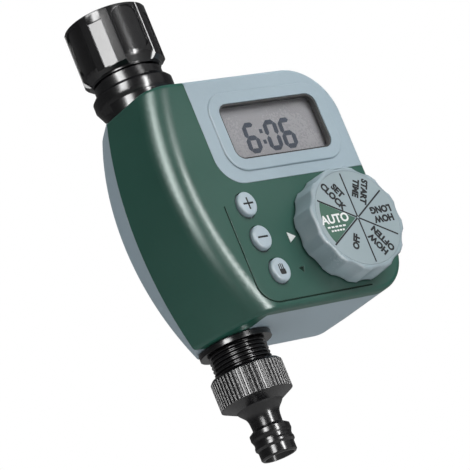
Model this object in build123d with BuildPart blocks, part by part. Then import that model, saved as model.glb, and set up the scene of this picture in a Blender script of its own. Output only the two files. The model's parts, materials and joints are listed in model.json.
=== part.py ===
from build123d import *
from math import cos, radians, sin
import os

# Hose-end drip irrigation timer: dial-set controller with a pilot-operated diaphragm valve.
#
# Millimetres. The water path runs along Z. The origin is the centre of the inlet nut's threaded
# mouth and +Z points out of it, so the body hangs below. The dial and the display face -Y.

os.makedirs("parts", exist_ok=True)

# ---------------------------------------------------------------- driving dimensions
# Housing
FRONT_Y = -35.5  # front face
BACK_Y = 22.5
TOP_Z = -47.0
BOTTOM_Z = -156.8
RIGHT_X = 79.5
WALL = 2.2
TOP_RIGHT_R = 24.0
BOTTOM_RIGHT_R = 20.0
SPINE_R = 11.0  # rounding between the front face and the left flank
FRONT_EDGE_R = 2.4
BACK_EDGE_R = 8.0
SPLIT_X = -3.0  # the front cover is full depth only to the left of this plane
LIP_Y = -30.0  # rear edge of the front cover's skirt to the right of it
PANEL_BACK_Y = -27.0  # rear edge of the display panel's skirt
PANEL_LEFT_X = -2.0
PANEL_BOTTOM_Z = -98.0
PANEL_CORNER_R = 13.0
GAP = 0.15  # joint line between two housing mouldings
FRAME_LINE_W = 0.8  # engraved line round the control panel
FRAME_LINE_DEPTH = 0.5

# Water path
THREAD_MINOR_R = 12.06  # G3/4 internal thread, minor radius
THREAD_MAJOR_R = 13.22  # G3/4 external thread, major radius
THREAD_PITCH = 1.814
NUT_R = 18.8
NUT_TOP_Z = 1.8
NUT_LEAD_R = 13.6  # plain lead-in above the thread
NUT_THREAD_LENGTH = 12.0
NUT_WALL_END_Z = -22.6
NUT_BOTTOM_Z = -27.2
NUT_EDGE_R = 3.2
NUT_PAD_FACE = 18.8  # distance of each grip pad's middle from the axis
NUT_PAD_SHOULDER = 17.9  # the same at the pad's two outer edges
NUT_PAD_HALF = 7.0
NUT_STRIP_W = 6.4  # recessed strip down the middle of each pad
NUT_STRIP_DEPTH = 0.6
NUT_COLLAR_R = 16.4
NUT_COLLAR_H = 0.8
NUT_COLLAR_INNER_R = 13.4
NUT_RELIEF_R = 12.6  # clearance below the thread
NUT_SEAT_Z = -18.1  # face that bears on the tailpiece
NUT_GRIP_R = 20.0  # turned outline that rounds the pads
NUT_PAD_ANGLE = -143.2  # direction of the first of the four pads
NUT_PANEL_R = 18.1
NECK_TOP_Z = -27.6
NECK_R = 15.8
NECK_GROOVE_R = 13.6  # the housing's top wall grips this groove
BEAD_R = 18.6
NECK_PAD_R = 17.4
NECK_PAD_FROM = radians(-170.4)
NECK_PAD_TO = radians(-95.0)
SECTOR_REACH = 40.0  # longer than any radius it cuts
BORE_R = 8.0
BARREL_R = 13.5
FLANGE_R = 16.6
THREAD_END_Z = -181.2
TAIL_R = 10.6  # inlet tailpiece that the nut turns on

# Outlet adaptor
KNURL_TOP_Z = -170.0
KNURL_BOTTOM_Z = -183.9
KNURL_R = 16.5
KNURL_RIBS = 54
SPIGOT_TIP_Z = -210.5
SPIGOT_R = 8.2

# Dial
DIAL_X = 51.0
DIAL_Z = -126.6
KNOB_R = 25.5
KNOB_H = 13.0
KNOB_FLUTES = 12
SHAFT_R = 4.0

# Display
WINDOW_LEFT = 10.3
WINDOW_RIGHT = 66.5
WINDOW_BOTTOM = -87.3
WINDOW_TOP = -60.5
WINDOW_R = 5.0

# Buttons, as X and Z of their centres
PLUS = (4.6, -108.1)
MINUS = (5.1, -124.2)
MANUAL = (8.1, -140.0)
BUTTON_HALF = (4.8, 5.7)  # slightly oval
BUTTON_PROUD = 2.4
BUTTON_GAP = 0.45

# Electronics
BOARD_FRONT_Y = -27.0
BOARD_T = 1.6
BOARD_SCREWS = [(24.0, -107.5), (74.0, -109.0), (32.0, -147.0)]
BOARD_BOSS_R = 2.6

# Battery tray, sliding out through the right wall
CELL_R = 5.2
CELL_FROM_X = 26.0
CELL_TO_X = 69.6
CELL_Y = -2.5
TRAY_Z = -92.5
CELL_Z = [TRAY_Z - 5.8, TRAY_Z + 5.8]
TRAY_HALF_Y = 7.0
TRAY_HALF_Z = 12.6
TRAY_FROM_X = 23.0
BAY_FROM_X = 19.6

# Valve, whose diaphragm axis runs along X
VALVE_Z = -130.0
VALVE_R = 17.0
VALVE_FACE_X = 16.0
CHAMBER_R = 12.5
CHAMBER_FLOOR_X = 10.6
SEAT_X = 14.0
DIAPHRAGM_T = 1.8
BONNET_T = 5.6
EAR_PITCH_R = 18.4
EAR_R = 3.2
CORE_R = 4.5
PLUNGER_R = 3.9

# Housing screws, as X and Z
SCREWS = [(-17.6, -104.0), (73.0, -71.0), (67.0, -144.5), (26.0, -150.5), (24.0, -53.0)]
BOSS_R = 3.4
BOSS_MEET_Y = -24.0
SPINE_BOSS_MEET_Y = -1.0
SCREW_R = 1.5

# Working clearances
RUNNING = 0.08
CLEAR = 0.2


def front_plane(y):
    """Plane at depth y that faces -Y, with sketch axes along X and Z."""
    return Plane.XZ.offset(-y)


def level(z):
    """Horizontal plane at height z."""
    return Plane.XY.offset(z)


def side_plane(x):
    """Plane at x that faces +X, with sketch axes along Y and Z."""
    return Plane.YZ.offset(x)


# ---------------------------------------------------------------- housing envelope
def outline(y, top_x, middle, bottom_x, inset):
    """Front view of the housing at depth y: a bowed left flank and two rounded right corners."""
    top = TOP_Z - inset
    bottom = BOTTOM_Z + inset
    right = RIGHT_X - inset
    upper_r = TOP_RIGHT_R - inset
    lower_r = BOTTOM_RIGHT_R - inset
    flank_top = (top_x + inset, top)
    flank_middle = (middle[0] + inset, middle[1])
    flank_bottom = (bottom_x + inset, bottom)
    with BuildSketch(front_plane(y)) as face:
        with BuildLine():
            ThreePointArc(flank_bottom, flank_middle, flank_top)
            Line(flank_top, (right - upper_r, top))
            CenterArc((right - upper_r, top - upper_r), upper_r, 90, -90)
            Line((right, top - upper_r), (right, bottom + lower_r))
            CenterArc((right - lower_r, bottom + lower_r), lower_r, 0, -90)
            Line((right - lower_r, bottom), flank_bottom)
        make_face()
    return face.sketch


def envelope(inset):
    """Closed housing shape, drawn in by inset all round."""
    front = outline(FRONT_Y + inset, -21.0, (-27.3, -88.0), -7.5, inset)
    seam = outline(0, -20.5, (-30.0, -111.0), -22.5, inset)
    back = outline(BACK_Y - inset, -9.5, (-20.5, -100.0), -3.5, inset + 0.5)
    with BuildPart() as body:
        loft(sections=[front, seam], ruled=True)
        loft(sections=[seam, back], ruled=True)
        front_edges = body.edges().group_by(Axis.Y)[0]
        fillet(front_edges.filter_by(GeomType.CIRCLE).sort_by(Axis.X)[0], SPINE_R - inset)
        fillet(body.edges().group_by(Axis.Y)[0], max(FRONT_EDGE_R - inset, 0.4))
        fillet(body.edges().group_by(Axis.Y)[-1], BACK_EDGE_R - inset)
    return body.part


def panel_block(y_front, y_back, grow):
    """The display panel's front view, grown by a joint gap, between two depths."""
    left = PANEL_LEFT_X - grow
    bottom = PANEL_BOTTOM_Z - grow
    beyond = RIGHT_X + 10
    radius = PANEL_CORNER_R
    with BuildPart() as block:
        with BuildSketch(front_plane(y_back)):
            with BuildLine():
                Line((left, 0), (left, bottom + radius))
                CenterArc((left + radius, bottom + radius), radius, 180, 90)
                Polyline((left + radius, bottom), (beyond, bottom), (beyond, 0), (left, 0))
            make_face()
        extrude(amount=y_back - y_front)
    return block.part


def box_between(low, high):
    """Rectangular block from its lowest to its highest corner."""
    with BuildPart() as block:
        with BuildSketch(level(low[2])):
            with Locations(((low[0] + high[0]) / 2, (low[1] + high[1]) / 2)):
                Rectangle(high[0] - low[0], high[1] - low[1])
        extrude(amount=high[2] - low[2])
    return block.part


def post(x, z, radius, y_front, y_back):
    """Round post along Y."""
    with BuildPart() as block:
        with BuildSketch(front_plane(y_back)):
            with Locations((x, z)):
                Circle(radius)
        extrude(amount=y_back - y_front)
    return block.part


def oval(x, z, grow, y_front, y_back):
    """Push button's outline, grown all round, extruded along Y."""
    with BuildPart() as block:
        with BuildSketch(front_plane(y_back)):
            with Locations((x, z)):
                Ellipse(BUTTON_HALF[0] + grow, BUTTON_HALF[1] + grow)
        extrude(amount=y_back - y_front)
    return block.part


outer = envelope(0.0)
inner = envelope(WALL)
FAR_X = 120.0  # beyond the housing's right-hand side

# ---------------------------------------------------------------- front cover
cover_front_zone = box_between((-60, FRONT_Y - 5, -170), (FAR_X, LIP_Y, -30))
cover_spine_zone = box_between((-60, FRONT_Y - 5, -170), (SPLIT_X, 0, -30))
spine_screw = SCREWS[0]
lower_screws = SCREWS[2:4]

with BuildPart() as front_cover:
    add(cover_front_zone)
    add(cover_spine_zone)
    add(outer, mode=Mode.INTERSECT)
    add(inner, mode=Mode.SUBTRACT)
    add(panel_block(FRONT_Y - 5, 0, GAP), mode=Mode.SUBTRACT)
    # screw bosses and circuit board bosses
    add(post(spine_screw[0], spine_screw[1], BOSS_R, -31.5, SPINE_BOSS_MEET_Y))
    for x, z in lower_screws:
        add(post(x, z, BOSS_R, FRONT_Y + 1, BOSS_MEET_Y))
    for x, z in BOARD_SCREWS:
        add(post(x, z, BOARD_BOSS_R, FRONT_Y + 1, BOARD_FRONT_Y))
    add(post(spine_screw[0], spine_screw[1], SCREW_R, -18, 1), mode=Mode.SUBTRACT)
    for x, z in lower_screws:
        add(post(x, z, SCREW_R, FRONT_Y + 2, 1), mode=Mode.SUBTRACT)
    for x, z in BOARD_SCREWS:
        add(post(x, z, 1.1, FRONT_Y + 3, 1), mode=Mode.SUBTRACT)
    # openings for the buttons, the dial shaft and its seal
    for x, z in (PLUS, MINUS, MANUAL):
        add(oval(x, z, BUTTON_GAP, FRONT_Y - 5, -32), mode=Mode.SUBTRACT)
    add(post(DIAL_X, DIAL_Z, 8.0, FRONT_Y + 1, -32.0))
    add(post(DIAL_X, DIAL_Z, SHAFT_R + RUNNING, FRONT_Y - 5, -20), mode=Mode.SUBTRACT)
    add(post(DIAL_X, DIAL_Z, 5.8, FRONT_Y - 5, FRONT_Y + 1.6), mode=Mode.SUBTRACT)
    # passages for the water path in the top and bottom walls
    with BuildSketch(level(TOP_Z + 5)):
        Circle(NECK_GROOVE_R + GAP)
    extrude(amount=-10, mode=Mode.SUBTRACT)
    with BuildSketch(level(BOTTOM_Z - 5)):
        Circle(BARREL_R + 0.5)
    extrude(amount=10, mode=Mode.SUBTRACT)
    # engraved line framing the control panel, and a small engraved arrow by the lowest button
    with BuildSketch(front_plane(FRONT_Y)):
        with BuildLine():
            Line((-6.8, -107), (-6.8, -143.6))
            CenterArc((3.2, -143.6), 10, 180, 90)
            Line((3.2, -153.6), (56, -153.6))
        trace(line_width=FRAME_LINE_W)
    extrude(amount=-FRAME_LINE_DEPTH, mode=Mode.SUBTRACT)
    with BuildSketch(front_plane(FRONT_Y)):
        with BuildLine():
            Polyline((19.4, -140.2), (22.6, -139.6), (21.6, -142.6), (19.4, -140.2))
        make_face()
    extrude(amount=-0.5, mode=Mode.SUBTRACT)

front_cover.part.label = "front_cover"
export_step(front_cover.part, "parts/front_cover.step")

# ---------------------------------------------------------------- display panel
panel_screws = [SCREWS[1], SCREWS[4]]
window_x = (WINDOW_LEFT + WINDOW_RIGHT) / 2
window_z = (WINDOW_BOTTOM + WINDOW_TOP) / 2
window_w = WINDOW_RIGHT - WINDOW_LEFT
window_h = WINDOW_TOP - WINDOW_BOTTOM
RIDGE_W = 5.5
RIDGE_H = 0.8

with BuildPart() as display_panel:
    add(panel_block(FRONT_Y - 5, PANEL_BACK_Y, 0))
    add(outer, mode=Mode.INTERSECT)
    add(inner, mode=Mode.SUBTRACT)
    for x, z in panel_screws:
        add(post(x, z, BOSS_R, FRONT_Y + 1, BOSS_MEET_Y))
    for x, z in panel_screws:
        add(post(x, z, SCREW_R, FRONT_Y + 2, 1), mode=Mode.SUBTRACT)
    # soft raised ridge round the window
    with BuildSketch(front_plane(FRONT_Y + 0.5)):
        with Locations((window_x, window_z)):
            RectangleRounded(
                window_w + 2 * RIDGE_W, window_h + 2 * RIDGE_W, WINDOW_R + RIDGE_W
            )
    extrude(amount=RIDGE_H + 0.5)
    fillet(display_panel.edges().group_by(Axis.Y)[0], 0.7)
    with BuildSketch(front_plane(-20)):
        with Locations((window_x, window_z)):
            RectangleRounded(window_w, window_h, WINDOW_R)
    extrude(amount=30, mode=Mode.SUBTRACT)

display_panel.part.label = "display_panel"
export_step(display_panel.part, "parts/display_panel.step")

# ---------------------------------------------------------------- back shell
back_zone = box_between((-60, GAP, -170), (FAR_X, BACK_Y + 5, -30))
side_zone = box_between((SPLIT_X + GAP, PANEL_BACK_Y + GAP, -170), (FAR_X, 1, -30))
lip_zone = box_between((SPLIT_X + GAP, LIP_Y + GAP, -170), (FAR_X, 1, PANEL_BOTTOM_Z - 1))
HEAD_SEAT_Y = BACK_Y - 6.0

with BuildPart() as back_bosses:
    for index, (x, z) in enumerate(SCREWS):
        meet = SPINE_BOSS_MEET_Y if index == 0 else BOSS_MEET_Y
        add(post(x, z, BOSS_R + 0.4, meet + GAP, BACK_Y))
    add(outer, mode=Mode.INTERSECT)

with BuildPart() as back_shell:
    add(back_zone)
    add(side_zone)
    add(lip_zone)
    add(outer, mode=Mode.INTERSECT)
    add(inner, mode=Mode.SUBTRACT)
    add(back_bosses.part)
    for x, z in SCREWS:
        add(post(x, z, SCREW_R + CLEAR, -60, BACK_Y + 5), mode=Mode.SUBTRACT)
        add(post(x, z, 3.1, HEAD_SEAT_Y, BACK_Y + 5), mode=Mode.SUBTRACT)
    with BuildSketch(level(TOP_Z + 5)):
        Circle(NECK_GROOVE_R + GAP)
    extrude(amount=-10, mode=Mode.SUBTRACT)
    with BuildSketch(level(BOTTOM_Z - 5)):
        Circle(BARREL_R + 0.5)
    extrude(amount=10, mode=Mode.SUBTRACT)
    # opening for the battery tray's cap
    with BuildSketch(side_plane(RIGHT_X - 6)):
        with Locations((CELL_Y, TRAY_Z)):
            RectangleRounded(17.4, 30.6, 2.6)
    extrude(amount=12, mode=Mode.SUBTRACT)

back_shell.part.label = "back_shell"
export_step(back_shell.part, "parts/back_shell.step")

# ---------------------------------------------------------------- housing screws
with BuildPart() as housing_screws:
    for index, (x, z) in enumerate(SCREWS):
        tip = -17.0 if index == 0 else FRONT_Y + 4
        add(post(x, z, SCREW_R, tip, HEAD_SEAT_Y))
        add(post(x, z, 2.8, HEAD_SEAT_Y, HEAD_SEAT_Y + 2.0))
        with BuildSketch(front_plane(HEAD_SEAT_Y + 2.0)):
            with Locations((x, z)):
                Rectangle(3.4, 0.7)
                Rectangle(0.7, 3.4)
        extrude(amount=1.1, mode=Mode.SUBTRACT)

housing_screws.part.label = "housing_screws"
export_step(housing_screws.part, "parts/housing_screws.step")

# ---------------------------------------------------------------- display stack
LENS_BACK_Y = FRONT_Y + WALL + 1.2
GLASS_FRONT_Y = LENS_BACK_Y + 0.1
GLASS_BACK_Y = GLASS_FRONT_Y + 2.4

with BuildPart() as display_lens:
    with BuildSketch(front_plane(LENS_BACK_Y)):
        with Locations((window_x, window_z)):
            RectangleRounded(window_w + 5, window_h + 5, WINDOW_R + 1)
    extrude(amount=LENS_BACK_Y - FRONT_Y - WALL)

display_lens.part.label = "display_lens"
export_step(display_lens.part, "parts/display_lens.step")

with BuildPart() as window_gasket:
    with BuildSketch(front_plane(FRONT_Y + WALL - 0.05)):
        with Locations((window_x, window_z)):
            RectangleRounded(window_w - 0.1, window_h - 0.1, WINDOW_R)
            RectangleRounded(window_w - 1.6, window_h - 1.6, WINDOW_R - 0.7, mode=Mode.SUBTRACT)
    extrude(amount=WALL + 0.25)

window_gasket.part.label = "window_gasket"
export_step(window_gasket.part, "parts/window_gasket.step")

with BuildPart() as lcd_glass:
    with BuildSketch(front_plane(GLASS_BACK_Y)):
        with Locations((window_x, window_z)):
            Rectangle(window_w + 3, window_h + 4)
    extrude(amount=GLASS_BACK_Y - GLASS_FRONT_Y)

lcd_glass.part.label = "lcd_glass"
export_step(lcd_glass.part, "parts/lcd_glass.step")

with BuildPart() as lcd_holder:
    with BuildSketch(front_plane(BOARD_FRONT_Y)):
        with Locations((window_x, window_z)):
            Rectangle(window_w + 5.6, window_h + 7)
            Rectangle(window_w + 3.2, window_h + 4.2, mode=Mode.SUBTRACT)
    extrude(amount=BOARD_FRONT_Y - GLASS_FRONT_Y)

lcd_holder.part.label = "lcd_holder"
export_step(lcd_holder.part, "parts/lcd_holder.step")

with BuildPart() as lcd_contact_strips:
    with BuildSketch(front_plane(BOARD_FRONT_Y)):
        with Locations((window_x, window_z)):
            with GridLocations(1, window_h, 1, 2):
                Rectangle(window_w - 4, 2.0)
    extrude(amount=BOARD_FRONT_Y - GLASS_BACK_Y)

lcd_contact_strips.part.label = "lcd_contact_strips"
export_step(lcd_contact_strips.part, "parts/lcd_contact_strips.step")

# ---------------------------------------------------------------- circuit board
BOARD_BACK_Y = BOARD_FRONT_Y + BOARD_T

with BuildPart() as circuit_board:
    with BuildSketch(front_plane(BOARD_BACK_Y)):
        with BuildLine():
            Polyline((-2, -60), (8, -54), (60, -54), (75.5, -72), (75.5, -136), (62, -152))
            Polyline((62, -152), (6, -152), (-2, -146), (-2, -60))
        make_face()
        with Locations(SCREWS):
            Circle(BOSS_R + 1.2, mode=Mode.SUBTRACT)
        with Locations(BOARD_SCREWS):
            Circle(1.3, mode=Mode.SUBTRACT)
    extrude(amount=BOARD_T)

circuit_board.part.label = "circuit_board"
export_step(circuit_board.part, "parts/circuit_board.step")

with BuildPart() as controller_chip:
    with BuildSketch(front_plane(BOARD_BACK_Y + 1.6)):
        with Locations((36, -70)):
            Rectangle(12, 12)
    extrude(amount=1.6)
    chamfer(controller_chip.faces().sort_by(Axis.Y)[-1].edges(), 0.4)

controller_chip.part.label = "controller_chip"
export_step(controller_chip.part, "parts/controller_chip.step")

with BuildPart() as board_screws:
    for x, z in BOARD_SCREWS:
        add(post(x, z, 1.08, FRONT_Y + 4.5, BOARD_BACK_Y))
        add(post(x, z, 2.2, BOARD_BACK_Y, BOARD_BACK_Y + 1.3))

board_screws.part.label = "board_screws"
export_step(board_screws.part, "parts/board_screws.step")

# ---------------------------------------------------------------- keypad
DOME_TOP_Y = -29.0

with BuildPart() as keypad_membrane:
    with BuildSketch(front_plane(BOARD_FRONT_Y)):
        with Locations((6.0, -124.0)):
            RectangleRounded(15, 46, 2)
    extrude(amount=1.0)
    for x, z in (PLUS, MINUS, MANUAL):
        add(post(x, z, 4.2, DOME_TOP_Y, BOARD_FRONT_Y - 1.0))
    fillet(keypad_membrane.edges().group_by(Axis.Y)[0], 0.6)

keypad_membrane.part.label = "keypad_membrane"
export_step(keypad_membrane.part, "parts/keypad_membrane.step")


def button(centre):
    """Push button: a proud oval cap, a retaining flange behind the cover and a stem."""
    x, z = centre
    with BuildPart() as cap:
        add(oval(x, z, 0, FRONT_Y - BUTTON_PROUD, FRONT_Y + WALL + 0.3))
        fillet(cap.edges().group_by(Axis.Y)[0], 1.2)
        add(oval(x, z, BUTTON_GAP + 0.9, FRONT_Y + WALL + 0.15, FRONT_Y + WALL + 1.1))
        add(post(x, z, 2.0, FRONT_Y + WALL + 1.1, DOME_TOP_Y - 0.95))
    return cap.part


with BuildPart() as button_plus:
    add(button(PLUS))
    with BuildSketch(front_plane(FRONT_Y - BUTTON_PROUD)):
        with Locations(PLUS):
            Rectangle(5.6, 0.9)
            Rectangle(0.9, 5.6)
    extrude(amount=-0.35, mode=Mode.SUBTRACT)

button_plus.part.label = "button_plus"
export_step(button_plus.part, "parts/button_plus.step")

with BuildPart() as button_minus:
    add(button(MINUS))
    with BuildSketch(front_plane(FRONT_Y - BUTTON_PROUD)):
        with Locations(MINUS):
            Rectangle(5.6, 0.9)
    extrude(amount=-0.35, mode=Mode.SUBTRACT)

button_minus.part.label = "button_minus"
export_step(button_minus.part, "parts/button_minus.step")

with BuildPart() as button_manual:
    add(button(MANUAL))
    with BuildSketch(front_plane(FRONT_Y - BUTTON_PROUD)):
        with Locations((MANUAL[0] + 0.2, MANUAL[1] - 1.2)):
            RectangleRounded(3.2, 2.6, 0.7)
            with Locations((-1.2, 2.2), (-0.2, 2.5), (0.8, 2.2)):
                Rectangle(0.6, 2.8)
    extrude(amount=-0.35, mode=Mode.SUBTRACT)

button_manual.part.label = "button_manual"
export_step(button_manual.part, "parts/button_manual.step")

# ---------------------------------------------------------------- dial
KNOB_BASE_Y = FRONT_Y - 0.7
KNOB_FACE_Y = FRONT_Y - KNOB_H
LABEL_R = 22.4

with BuildPart() as dial_knob:
    with BuildSketch(front_plane(KNOB_BASE_Y)):
        with Locations((DIAL_X, DIAL_Z)):
            Circle(KNOB_R)
            with PolarLocations(KNOB_R + 13.2, KNOB_FLUTES):
                Circle(14.2, mode=Mode.SUBTRACT)
    extrude(amount=KNOB_BASE_Y - KNOB_FACE_Y, taper=3)
    fillet(dial_knob.edges().group_by(Axis.Y)[0], 1.2)
    # hollow underside, leaving the shaft
    with BuildSketch(front_plane(KNOB_BASE_Y)):
        with Locations((DIAL_X, DIAL_Z)):
            Circle(KNOB_R - 3.6)
            Circle(SHAFT_R, mode=Mode.SUBTRACT)
    extrude(amount=KNOB_BASE_Y - KNOB_FACE_Y - 2.4, mode=Mode.SUBTRACT)
    add(post(DIAL_X, DIAL_Z, SHAFT_R, KNOB_FACE_Y + 1, -29.6))
    # shallow seat for the printed label
    with BuildSketch(front_plane(KNOB_FACE_Y)):
        with Locations((DIAL_X, DIAL_Z)):
            Circle(LABEL_R + 0.1)
    extrude(amount=-0.3, mode=Mode.SUBTRACT)

dial_knob.part.label = "dial_knob"
export_step(dial_knob.part, "parts/dial_knob.step")

with BuildPart() as dial_label:
    add(post(DIAL_X, DIAL_Z, LABEL_R, KNOB_FACE_Y, KNOB_FACE_Y + 0.3))

dial_label.part.label = "dial_label"
export_step(dial_label.part, "parts/dial_label.step")

with BuildPart() as dial_seal:
    with BuildSketch(front_plane(FRONT_Y + 1.6)):
        with Locations((DIAL_X, DIAL_Z)):
            Circle(5.7)
            Circle(SHAFT_R + 0.02, mode=Mode.SUBTRACT)
    extrude(amount=1.4)
    fillet(dial_seal.edges(), 0.3)

dial_seal.part.label = "dial_seal"
export_step(dial_seal.part, "parts/dial_seal.step")

with BuildPart() as dial_wiper_disc:
    add(post(DIAL_X, DIAL_Z, 9.5, -31.4, -29.9))
    add(post(DIAL_X, DIAL_Z, SHAFT_R, -60, 0), mode=Mode.SUBTRACT)

dial_wiper_disc.part.label = "dial_wiper_disc"
export_step(dial_wiper_disc.part, "parts/dial_wiper_disc.step")

with BuildPart() as dial_contact:
    with BuildSketch(front_plane(-29.4)):
        with Locations((DIAL_X, DIAL_Z)):
            Circle(9.0)
            Circle(5.0, mode=Mode.SUBTRACT)
    extrude(amount=0.5)
    for angle in (90, 210, 330):
        x = DIAL_X + 7 * cos(radians(angle))
        z = DIAL_Z + 7 * sin(radians(angle))
        add(post(x, z, 0.9, -29.5, BOARD_FRONT_Y - 0.08))

dial_contact.part.label = "dial_contact"
export_step(dial_contact.part, "parts/dial_contact.step")

with BuildPart() as dial_pointer:
    with BuildSketch(front_plane(FRONT_Y)):
        with BuildLine():
            Polyline((20.6, -123.4), (20.6, -128.2), (24.6, -125.8), (20.6, -123.4))
        make_face()
    extrude(amount=0.35)

dial_pointer.part.label = "dial_pointer"
export_step(dial_pointer.part, "parts/dial_pointer.step")

# ---------------------------------------------------------------- inlet nut
def nut_panel(angle):
    """Cutter for one hollow grip panel with rounded corners, facing the given direction."""
    direction = (cos(radians(angle)), sin(radians(angle)), 0)
    across = (-sin(radians(angle)), cos(radians(angle)), 0)
    with BuildPart() as cutter:
        with BuildSketch(Plane(origin=(0, 0, -10.6), x_dir=across, z_dir=direction)):
            RectangleRounded(13.0, 21.4, 4.4)
        extrude(amount=NUT_R + 4)
        with BuildSketch(level(-40)):
            Circle(NUT_PANEL_R)
        extrude(amount=60, mode=Mode.SUBTRACT)
    return cutter.part


collar_z = NUT_BOTTOM_Z + NUT_COLLAR_H
seat_r = TAIL_R + RUNNING
pad_outline = [
    (0, -NUT_PAD_HALF),
    (NUT_PAD_SHOULDER, -NUT_PAD_HALF),
    (NUT_PAD_FACE, -NUT_STRIP_W / 2),
    (NUT_PAD_FACE, NUT_STRIP_W / 2),
    (NUT_PAD_SHOULDER, NUT_PAD_HALF),
    (0, NUT_PAD_HALF),
]

with BuildPart() as inlet_nut:
    with BuildSketch(Plane.XZ):
        with BuildLine():
            Polyline((NUT_LEAD_R, 0), (NUT_LEAD_R, NUT_TOP_Z), (NUT_R, NUT_TOP_Z))
            Polyline((NUT_R, NUT_TOP_Z), (NUT_R, NUT_WALL_END_Z), (NUT_COLLAR_R, collar_z))
            Line((NUT_COLLAR_R, collar_z), (NUT_COLLAR_R, NUT_BOTTOM_Z))
            Line((NUT_COLLAR_R, NUT_BOTTOM_Z), (NUT_COLLAR_INNER_R, NUT_BOTTOM_Z))
            Line((NUT_COLLAR_INNER_R, NUT_BOTTOM_Z), (NUT_LEAD_R, 0))
        make_face()
    revolve(axis=Axis.Z)
    # four grip pads with sloping ribs, rounded at the top and drawn in at the bottom
    with BuildSketch(level(collar_z)):
        with PolarLocations(0, 4, start_angle=NUT_PAD_ANGLE):
            Polygon(*pad_outline, align=None)
    extrude(amount=NUT_TOP_Z - collar_z)
    with BuildSketch(Plane.XZ):
        with BuildLine():
            Line((0, NUT_BOTTOM_Z), (NUT_COLLAR_R, NUT_BOTTOM_Z))
            Line((NUT_COLLAR_R, NUT_BOTTOM_Z), (NUT_GRIP_R, NUT_BOTTOM_Z + NUT_EDGE_R))
            Line((NUT_GRIP_R, NUT_BOTTOM_Z + NUT_EDGE_R), (NUT_GRIP_R, NUT_TOP_Z - NUT_EDGE_R))
            CenterArc((NUT_GRIP_R - NUT_EDGE_R, NUT_TOP_Z - NUT_EDGE_R), NUT_EDGE_R, 0, 90)
            Polyline((NUT_GRIP_R - NUT_EDGE_R, NUT_TOP_Z), (0, NUT_TOP_Z), (0, NUT_BOTTOM_Z))
        make_face()
    revolve(axis=Axis.Z, mode=Mode.INTERSECT)
    # recessed strip down the middle of each pad, and a hollow panel between the pads
    with BuildSketch(level(NUT_BOTTOM_Z + 2.6)):
        with PolarLocations(0, 4, start_angle=NUT_PAD_ANGLE):
            with Locations((NUT_PAD_FACE - NUT_STRIP_DEPTH, 0)):
                Rectangle(3, NUT_STRIP_W, align=(Align.MIN, Align.CENTER))
    extrude(amount=21.4, mode=Mode.SUBTRACT)
    for quarter in range(4):
        add(nut_panel(NUT_PAD_ANGLE + 45 + 90 * quarter), mode=Mode.SUBTRACT)
    # bore: lead-in, thread wall, relief, and the collar that turns on the tailpiece
    with BuildSketch(Plane.XZ):
        with BuildLine():
            Polyline((0, NUT_TOP_Z + 1), (NUT_LEAD_R, NUT_TOP_Z + 1), (NUT_LEAD_R, 0))
            Polyline((NUT_LEAD_R, 0), (THREAD_MINOR_R, 0), (THREAD_MINOR_R, -NUT_THREAD_LENGTH))
            Line((THREAD_MINOR_R, -NUT_THREAD_LENGTH), (NUT_RELIEF_R, -NUT_THREAD_LENGTH))
            Polyline((NUT_RELIEF_R, -NUT_THREAD_LENGTH), (NUT_RELIEF_R, NUT_SEAT_Z), (seat_r, NUT_SEAT_Z))
            Polyline((seat_r, NUT_SEAT_Z), (seat_r, NUT_BOTTOM_Z - 1), (0, NUT_BOTTOM_Z - 1))
            Line((0, NUT_BOTTOM_Z - 1), (0, NUT_TOP_Z + 1))
        make_face()
    revolve(axis=Axis.Z, mode=Mode.SUBTRACT)

inlet_nut.part.label = "inlet_nut"
export_step(inlet_nut.part, "parts/inlet_nut.step")


def turned(points):
    """Solid of revolution about Z from its half profile."""
    with BuildPart() as body:
        with BuildSketch(Plane.XZ):
            with BuildLine():
                Polyline(*points, close=True)
            make_face()
        revolve(axis=Axis.Z)
    return body.part


# ---------------------------------------------------------------- inlet tailpiece, filter, seals
TAIL_END_Z = -42.0
RING_Z = -36.0
TAIL_PROFILE = [
    (BORE_R, -15.0),
    (11.9, -15.0),
    (11.9, -18.0),
    (TAIL_R, -18.0),
    (TAIL_R, TAIL_END_Z),
    (BORE_R, TAIL_END_Z),
]
RING_GROOVE = [
    (9.4, RING_Z - 0.7),
    (TAIL_R + 1, RING_Z - 0.7),
    (TAIL_R + 1, RING_Z + 0.7),
    (9.4, RING_Z + 0.7),
]

with BuildPart() as inlet_tailpiece:
    add(turned(TAIL_PROFILE))
    add(turned(RING_GROOVE), mode=Mode.SUBTRACT)

inlet_tailpiece.part.label = "inlet_tailpiece"
export_step(inlet_tailpiece.part, "parts/inlet_tailpiece.step")

with BuildPart() as neck_o_ring:
    with BuildSketch(Plane.XZ):
        with Locations((10.0, RING_Z)):
            Circle(0.59)
    revolve(axis=Axis.Z)

neck_o_ring.part.label = "neck_o_ring"
export_step(neck_o_ring.part, "parts/neck_o_ring.step")

with BuildPart() as inlet_filter:
    with BuildSketch(Plane.XZ):
        with BuildLine():
            Polyline((0, -24.0), (4.6, -24.0), (7.4, -15.0), (11.4, -15.0), (11.4, -14.4))
            Polyline((11.4, -14.4), (6.9, -14.4), (4.2, -23.4), (0, -23.4), (0, -24.0))
        make_face()
    revolve(axis=Axis.Z)
    with BuildSketch(level(-30)):
        with PolarLocations(5.9, 12):
            Circle(0.75)
        with PolarLocations(2.6, 6):
            Circle(0.75)
    extrude(amount=20, mode=Mode.SUBTRACT)

inlet_filter.part.label = "inlet_filter"
export_step(inlet_filter.part, "parts/inlet_filter.step")

with BuildPart() as inlet_washer:
    add(turned([(7.6, -14.4), (11.9, -14.4), (11.9, -12.2), (7.6, -12.2)]))
    fillet(inlet_washer.edges(), 0.4)

inlet_washer.part.label = "inlet_washer"
export_step(inlet_washer.part, "parts/inlet_washer.step")

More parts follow.
